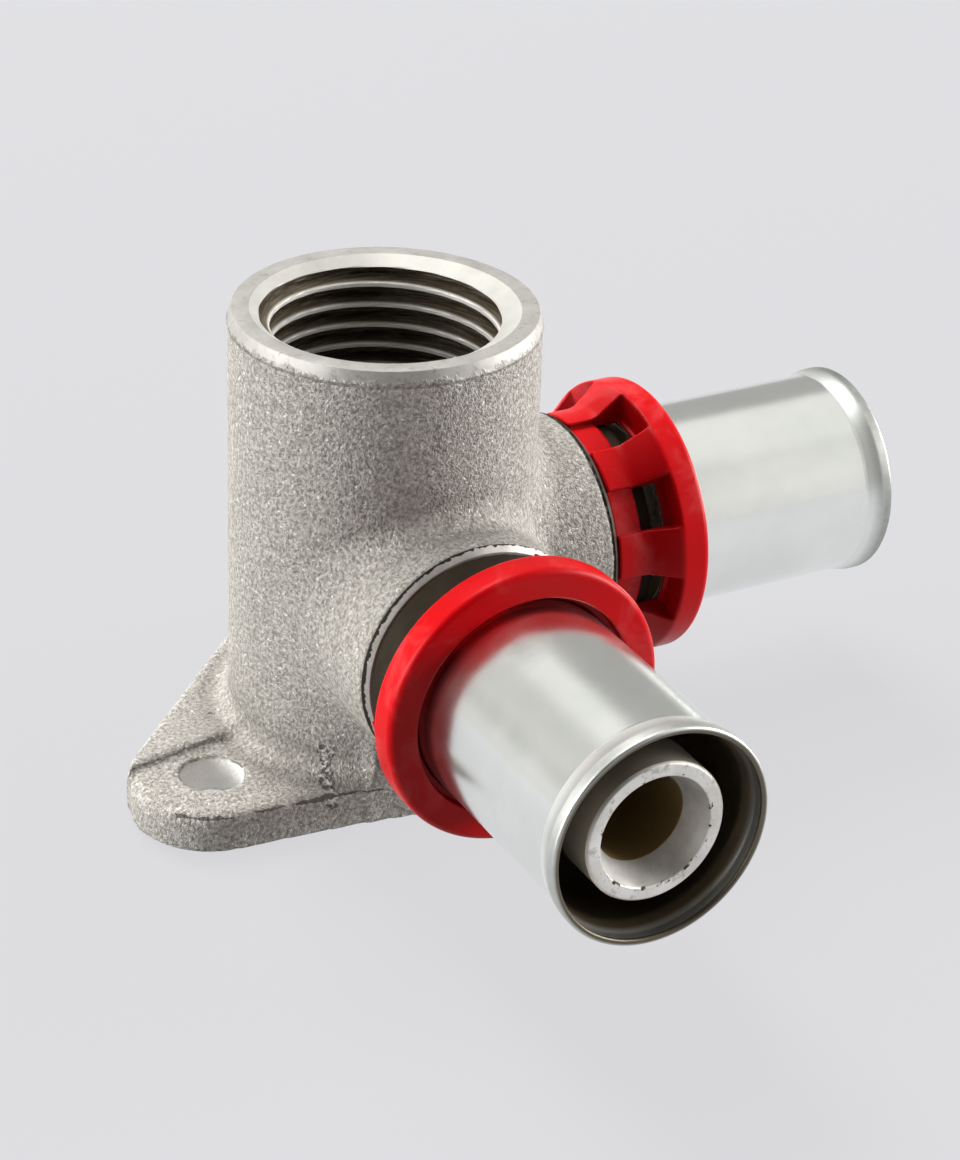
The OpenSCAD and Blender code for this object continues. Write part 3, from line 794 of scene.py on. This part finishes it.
def cast_field(x, y, z):
    """The whole casting, without its turned rim and outlets."""
    socket = meet_round(hypot(x, y) - SOCKET_R, z - (SOCKET_H - RIM_BEVEL_H), 0.02)
    outlets = join_round(boss_field(x, y, z), boss_field(-y, x, z), CROTCH_FILLET)
    ribs = np.minimum(rib_field(x, y, z), rib_field(-y, x, z))
    solid = join_round(socket, outlets, BOSS_FILLET)
    solid = join_round(solid, ribs, RIB_FILLET)
    solid = join_round(solid, plate_field(x, y, z), BASE_FILLET)
    solid = solid + SKIN_LOSS + LUMP * lumps(x, y, z, LUMP_WAVE) + RIPPLE * lumps(z, x, y, RIPPLE_WAVE)
    solid = meet_round(solid, FOOT_GAP - z, FOOT_EDGE_R)
    solid = carve(solid, hollow_field(x, y, z))
    for hole_x, hole_y in (HOLE_LEFT, HOLE_BACK):
        solid = meet_round(solid, HOLE_R - hypot(x - hole_x, y - hole_y), HOLE_EDGE_R)
    return solid


points, quads = surface_net(cast_field, CAST_LOW, CAST_HIGH, CAST_CELL)
cast = piece("body_casting", points, quads, material("casting_metal", casting), ["body"])
# how shut in each point is, which the casting's material turns into painted shade
near_recess, far_recess = recess(cast_field, points, 3.0), recess(cast_field, points, 7.0)
recess_data = cast.data.attributes.new("recess", "FLOAT", "POINT").data
recess_data.foreach_set("value", 0.65 * near_recess + 0.35 * far_recess)


# The socket's turned rim and thread

def thread_radius(height, angle):
    """Radius of the thread's surface: flat crests and roots, with straight flanks."""
    turn = np.mod(height / PITCH - angle / (2 * math.pi) + THREAD_PHASE, 1.0)
    distance = np.abs(turn - 0.5) * PITCH
    flank = (MAJOR_R - CORE_R) * math.tan(math.radians(FLANK_ANGLE))
    depth = np.clip((distance - HALF_CREST) / flank, 0, 1)
    return CORE_R + (MAJOR_R - CORE_R) * depth


def threaded_rim():
    """The rim, the countersink and the threaded bore as one closed ring with a real helix."""
    wall_r, rim_foot = 11.3, 38.60
    bottom = SOCKET_H - THREAD_LENGTH
    angles = np.arange(THREAD_SEGMENTS) * 2 * math.pi / THREAD_SEGMENTS
    rows = []

    def ring(radius, height):
        rows.append(np.stack([radius * np.cos(angles), radius * np.sin(angles),
                              np.full(THREAD_SEGMENTS, height)], axis=1))

    # the last corner only gives the mouth's edge its direction and isn't built
    outside = rounded([(12.70, rim_foot, 0), (SOCKET_R + 0.01, SOCKET_H - RIM_BEVEL_H, 0.02),
                       (SOCKET_R - RIM_BEVEL, SOCKET_H, 0.12), (MOUTH_R, SOCKET_H, 0.10),
                       (9.9, SOCKET_H - MOUTH_DEPTH, 0)], 3)[:-1]
    ring(wall_r, rim_foot)
    for radius, height in outside:
        ring(radius, height)
    cone = (MOUTH_R - CORE_R) / MOUTH_DEPTH
    for height in np.arange(SOCKET_H - 0.12, bottom + 0.2, -THREAD_STEP):
        countersink = CORE_R + cone * (height - (SOCKET_H - MOUTH_DEPTH))
        runout = CORE_R + 4.0 * (height - bottom - 0.4)
        thread = np.minimum(thread_radius(height, angles), np.maximum(CORE_R, runout))
        ring(np.maximum(thread, countersink), height)
    ring(CORE_R, bottom + 0.1)
    ring(CHAMBER_R, bottom - 2.0)
    ring(wall_r, bottom - 2.0)
    i, j = np.meshgrid(np.arange(len(rows)), np.arange(THREAD_SEGMENTS), indexing="ij")
    k, m = (i + 1) % len(rows), (j + 1) % THREAD_SEGMENTS
    corners = [a * THREAD_SEGMENTS + b for a, b in ((i, j), (i, m), (k, m), (k, j))]
    return np.concatenate(rows), np.stack(corners, axis=2).reshape(-1, 4)


points, quads = threaded_rim()
piece("body_thread", points, quads, material("thread_metal", thread_metal), ["body"], 35)


# The outlets' turned ends; each corner of an outline has its radius, height and rounding

def barbs(start):
    """Corners of the barbs on a stretch of the tail."""
    teeth = []
    for i in range(BARB_COUNT):
        low = start + i * BARB_PITCH
        teeth += [(TAIL_R, low, 0.05), (TAIL_R - BARB_DEPTH, low + BARB_PITCH - 0.02, 0.05)]
    return [*teeth, (TAIL_R, start + BARB_COUNT * BARB_PITCH, 0.05)]


def seal_groove(middle):
    """Corners of the groove for one sealing ring."""
    low, high = middle - HALF_GROOVE, middle + HALF_GROOVE
    return [(TAIL_R, low, 0.1), (GROOVE_FLOOR_R, low, 0.15),
            (GROOVE_FLOOR_R, high, 0.15), (TAIL_R, high, 0.1)]


def outlet_outline():
    """One outlet's turned lip, neck, tail and tip as a closed outline."""
    root = BOSS_END - 2.0
    bevel_start = BOSS_END - LIP_BEVEL
    snap_r = NECK_R - SNAP_DEPTH
    lip = [(BORE_R, root, 0), (BOSS_R - 0.7, root, 0), (BOSS_R - 0.17, bevel_start - 0.15, 0.05),
           (BOSS_R - 0.02, bevel_start, 0.04), (BOSS_R - LIP_BEVEL, BOSS_END, 0.06)]
    neck = [(NECK_R, BOSS_END, 0.05), (NECK_R, SNAP_LOW, 0.05), (snap_r, SNAP_LOW, 0.05),
            (snap_r, SNAP_HIGH, 0.05), (NECK_R, SNAP_HIGH, 0.05), (NECK_R, NECK_END, 0.05),
            (TAIL_R, NECK_END, 0.05)]
    inner_groove, outer_groove = (seal_groove(middle) for middle in SEAL_GROOVES)
    tip = [(TAIL_R, TAIL_END - TIP_BEVEL, 0.1), (TAIL_R - TIP_BEVEL, TAIL_END, 0.12),
           (TIP_MOUTH_R, TAIL_END, 0.12), (BORE_R, TAIL_END - TIP_MOUTH_DEPTH, 0.3)]
    corners = lip + neck + barbs(INNER_BARBS) + inner_groove + barbs(MIDDLE_BARBS) + outer_groove + tip
    return rounded(corners, 3)


for side in SIDES:
    points, quads = lathe(divided(outlet_outline(), 1.5), OUTLET_SEGMENTS)
    metal = material(f"turned_metal_{side}", partial(turned_metal, side=side))
    piece(f"body_outlet_{side}", on_outlet(points, side), quads, metal, ["body"], 40)


# Washers

def washer_field(x, y, z):
    """A washer round Z, with its key towards +X."""
    r = hypot(x, y)
    cup = meet_round(meet_round(r - WASHER_R, z - WASHER_END, 0.1), RING_START - z, 0.1)
    outer_groove = np.maximum(WASHER_R - SNAP_DEPTH - r, np.maximum(SNAP_LOW - z, z - SNAP_HIGH))
    cup = meet_round(cup, -outer_groove, 0.05)
    turn = np.abs(np.arctan2(y, x))
    sides = (turn - math.radians(KEY_HALF)) * r
    key = meet_round(meet_round(r - KEY_R, sides, 0.12), z - WASHER_END + FIT, 0.12)
    key = meet_round(np.maximum(key, KEY_ROOT_R - r), RING_START + FIT - z, 0.06)
    bore = np.maximum(r - WASHER_BORE_R, z - PIPE_SEAT)
    inner_rib = np.maximum(SNAP_LOW + FIT - z, z - SNAP_HIGH + FIT)
    bore = np.maximum(bore, -np.maximum(inner_rib, NECK_R - SNAP_DEPTH + FIT - r))
    return meet_round(np.minimum(cup, key), -np.minimum(bore, r - TAIL_R - FIT), 0.08)


points, quads = surface_net(washer_field, (-10.1, -10.1, RING_START - 0.3), (10.1, 10.1, WASHER_END + 0.3),
                            WASHER_CELL)
black = material("washer_plastic", washer_plastic)
for side in SIDES:
    placed = on_outlet(spun(points, RING_TURN[side]), side)
    piece(f"washer_{side}_moulding", placed, quads, black, [f"washer_{side}"])


# Rings

def flange_field(r, z):
    """The ring's outside: a barrel that flares out to the flange."""
    slope = (FLANGE_R - CLAW_R) / (FLANGE_START - FLARE_START)
    flare = (r - CLAW_R - slope * (z - FLARE_START)) / math.sqrt(1 + slope * slope)
    body = meet_round(join_round(r - CLAW_R, flare, 0.35), r - FLANGE_R, 0.15)
    return meet_round(meet_round(body, z - RING_END, FLANGE_ROUND), RING_START - z, 0.12)


def ring_field(x, y, z):
    """The red ring round Z, with its wide opening towards +X."""
    r = hypot(x, y)
    angle = np.degrees(np.arctan2(y, x))
    body = flange_field(r, z)
    # pockets between the claws, the wide opening, and the windows below the flange
    turn = np.mod(angle, 360.0) - 180.0
    nearest = np.clip(np.round(turn / POCKET_STEP), -(POCKET_COUNT // 2), POCKET_COUNT // 2)
    aside = np.radians(np.abs(turn - nearest * POCKET_STEP) - POCKET_HALF) * r
    pocket = meet_round(meet_round(aside, POCKET_R - r, 0.1), z - FLANGE_START, 0.1)
    opening = np.radians(np.abs(angle) - OPENING_HALF) * r
    window_cut = np.maximum(np.maximum(aside, WINDOW_START - z), z - WINDOW_END)
    body = meet_round(body, -pocket, 0.09)
    body = meet_round(body, -np.maximum(opening, z - WINDOW_END), 0.09)
    body = meet_round(body, -np.maximum(np.maximum(opening, POCKET_R - r), z - FLANGE_START), 0.09)
    body = meet_round(body, -window_cut, 0.08)
    # the bore, the groove for the sleeve's collar, its keeper rib and the recess in the face
    bore = np.maximum(r - RING_BORE_R, z - KEEPER_START)
    groove = np.maximum(r - COLLAR_R - FIT, np.maximum(COLLAR_START - FIT - z, z - KEEPER_START))
    cut = np.minimum(np.minimum(bore, groove), r - KEEPER_R)
    body = meet_round(body, -cut, 0.05)
    return meet_round(body, -np.maximum(r - FLANGE_BORE_R, RECESS_START - z), 0.16)


points, quads = surface_net(ring_field, (-12.4, -12.4, RING_START - 0.3), (12.4, 12.4, RING_END + 0.4),
                            RING_CELL)
red = material("ring_plastic", ring_plastic)
for side in SIDES:
    placed = on_outlet(spun(points, RING_TURN[side]), side)
    piece(f"ring_{side}_moulding", placed, quads, red, [f"ring_{side}"])


# Sleeves, and the sealing rings inside them

def sleeve_outline():
    """A sleeve's tube with its collar and its beaded mouth, as a closed outline."""
    inner = SLEEVE_R - SLEEVE_WALL
    lip = BEAD_R - SLEEVE_WALL
    collar_end, bead_full = COLLAR_START + SLEEVE_WALL, BEAD_START + BEAD_RAMP
    return rounded([(inner, COLLAR_START, 0.2), (COLLAR_R, COLLAR_START, 0.15), (COLLAR_R, collar_end, 0.15),
                    (SLEEVE_R, collar_end, 0.2), (SLEEVE_R, BEAD_START, 2.0), (BEAD_R, bead_full, 1.2),
                    (BEAD_R, SLEEVE_END, 0.24), (lip, SLEEVE_END, 0.2), (lip, bead_full, 1.0),
                    (inner, BEAD_START, 2.0)], 6)


for side in SIDES:
    points, quads = lathe(divided(sleeve_outline(), 1.2), SLEEVE_SEGMENTS)
    steel = material(f"sleeve_steel_{side}", partial(sleeve_steel, side=side))
    placed = on_outlet(points, side)
    piece(f"sleeve_{side}_steel", placed, quads, steel, [f"sleeve_{side}"], 50)

rubber = material("seal_rubber", seal_rubber)
for side, place in itertools.product(SIDES, ("inner", "outer")):
    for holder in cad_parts[f"seal_{side}_{place}"].material_slots:
        holder.material = rubber


# Floor, light and camera; lengths are in metres from here on

def light_table(half=3.0):
    """The floor, a square that reaches from -half to half."""
    mesh = bpy.data.meshes.new("floor")
    corners = [(-half, -half, 0), (half, -half, 0), (half, half, 0), (-half, half, 0)]
    mesh.from_pydata(corners, [], [(0, 1, 2, 3)])
    mesh.materials.append(material("floor_paint", table_paint))
    floor = bpy.data.objects.new("floor", mesh)
    bpy.context.scene.collection.objects.link(floor)


light_table()

# Dimmer zones of the tent: direction, the cosines where a zone starts and is full, and its brightness
TENT_STRENGTH = 0.86
TENT_ZONES = (
    ((-0.55, -0.83, 0.05), 0.30, 0.90, 0.06),
    ((0.50, 0.80, 0.35), 0.88, 0.95, 0.48),
    ((-0.50, 0.74, 0.48), 0.90, 0.98, 0.76),
    ((-0.35, -0.50, 0.79), 0.60, 0.95, 0.15),
    ((0.45, -0.60, 0.66), 0.93, 0.99, 0.88),
    ((-0.66, 0.74, 0.08), 0.93, 0.99, 0.82))


def studio_world():
    """A white tent all round, dark where it opens at the front, and dimmer in a few other places."""
    world = bpy.data.worlds.new("studio")
    bpy.context.scene.world = world
    world.use_nodes = True
    tree = world.node_tree
    direction = tree.nodes.new("ShaderNodeTexCoord").outputs["Generated"]
    background = tree.nodes["Background"]
    background.inputs[0].default_value = (1.0, 0.985, 0.96, 1)
    level = None
    for towards, start, full, brightness in TENT_ZONES:
        dot = tree.nodes.new("ShaderNodeVectorMath")
        dot.operation = "DOT_PRODUCT"
        tree.links.new(direction, dot.inputs[0])
        dot.inputs[1].default_value = Vector(towards).normalized()
        fall = tree.nodes.new("ShaderNodeMapRange")
        fall.interpolation_type = "SMOOTHSTEP"
        tree.links.new(dot.outputs["Value"], fall.inputs["Value"])
        fall.inputs["From Min"].default_value = start
        fall.inputs["From Max"].default_value = full
        fall.inputs["To Min"].default_value = 1.0
        fall.inputs["To Max"].default_value = brightness
        product = tree.nodes.new("ShaderNodeMath")
        product.operation = "MULTIPLY"
        product.inputs[0].default_value = TENT_STRENGTH
        if level is not None:
            tree.links.new(level, product.inputs[0])
        tree.links.new(fall.outputs[0], product.inputs[1])
        level = product.outputs[0]
    tree.links.new(level, background.inputs["Strength"])


studio_world()

LAMP_TARGET = Vector((0.004, -0.0095, 0.018))


def area_light(name, place, size, power, mirrored=True):
    """A square lamp that looks at the part. One that isn't mirrored lights only what is matt."""
    data = bpy.data.lights.new(name, "AREA")
    data.energy, data.size = power, size
    lamp = bpy.data.objects.new(name, data)
    lamp.location = place
    lamp.rotation_mode = "QUATERNION"
    lamp.rotation_quaternion = (LAMP_TARGET - Vector(place)).to_track_quat("-Z", "Y")
    lamp.visible_glossy = mirrored
    bpy.context.scene.collection.objects.link(lamp)


area_light("left", (-0.80, 0.12, 0.30), 0.60, 8.0)
area_light("left_back", (-0.80, 0.32, 0.14), 0.50, 19.0, mirrored=False)
area_light("right", (0.80, -0.20, 0.22), 0.50, 9.0)
area_light("right_front", (0.80, -0.33, 0.18), 0.50, 17.0, mirrored=False)
area_light("above", (0.0, 0.25, 0.86), 0.30, 3.5)
area_light("behind", (0.0, 0.64, 0.66), 0.40, 25.0, mirrored=False)

# The photograph's camera: its direction and distance from the target, and its lens in the photo's pixels
AZIMUTH, ELEVATION, ROLL = math.radians(-29.292), math.radians(28.615), math.radians(2.157)
CAMERA_TARGET, DISTANCE = Vector((0.004, -0.009482, 0.018264)), 0.257607
FOCAL_PX, WIDTH_PX, HEIGHT_PX = 3156.3, 960, 1160
CENTRE_X_PX, CENTRE_Y_PX = 476.70, 585.95
SENSOR = 36.0


def photo_camera():
    """A camera that sees the part as the photograph does."""
    back = Vector((math.sin(AZIMUTH) * math.cos(ELEVATION), -math.cos(AZIMUTH) * math.cos(ELEVATION),
                   math.sin(ELEVATION)))
    level_right = Vector((math.cos(AZIMUTH), math.sin(AZIMUTH), 0))
    level_up = back.cross(level_right)
    right = level_right * math.cos(ROLL) + level_up * math.sin(ROLL)
    up = level_up * math.cos(ROLL) - level_right * math.sin(ROLL)
    data = bpy.data.cameras.new("camera")
    camera = bpy.data.objects.new("camera", data)
    bpy.context.scene.collection.objects.link(camera)
    bpy.context.scene.camera = camera
    turn = Matrix((right, up, back)).transposed().to_4x4()
    camera.matrix_world = Matrix.Translation(CAMERA_TARGET + back * DISTANCE) @ turn
    data.sensor_fit = "AUTO"
    data.sensor_width = SENSOR
    data.lens = SENSOR * FOCAL_PX / HEIGHT_PX
    data.shift_x = (WIDTH_PX / 2 - CENTRE_X_PX) / HEIGHT_PX
    data.shift_y = (CENTRE_Y_PX - HEIGHT_PX / 2) / HEIGHT_PX
    data.clip_start = 0.01


photo_camera()
bpy.context.scene.view_settings.view_transform = "Standard"
